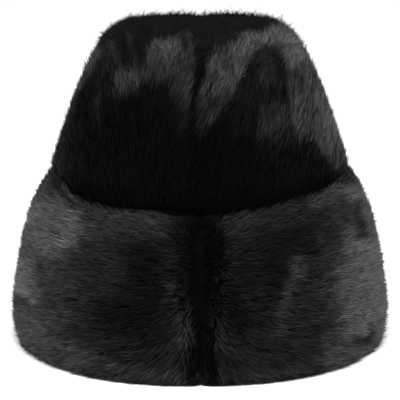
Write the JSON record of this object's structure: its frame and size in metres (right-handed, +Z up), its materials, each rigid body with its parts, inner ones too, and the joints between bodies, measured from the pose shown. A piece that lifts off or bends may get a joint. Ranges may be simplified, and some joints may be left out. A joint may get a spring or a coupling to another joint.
{
  "type": "fur hat with turned-up cuff",
  "caption": "Tall tapered fur hat with a soft domed crown, a seam over the top and a wide turned-up fur cuff with a crease at the front.",
  "frame": {"origin": "centre of the rim, on the surface that the hat stands on", "axes": "+Y towards the back of the head, +Z up, +X towards the right as seen from the front"},
  "size_m": [0.2438, 0.2653, 0.2061],
  "materials": {
    "crown_fur": "short glossy black fur",
    "cuff_fur": "short glossy black fur"
  },
  "bodies": {
    "root": {"crown_left": "crown_fur", "crown_right": "crown_fur", "cuff_left": "cuff_fur", "cuff_right": "cuff_fur"}
  },
  "joints": []
}
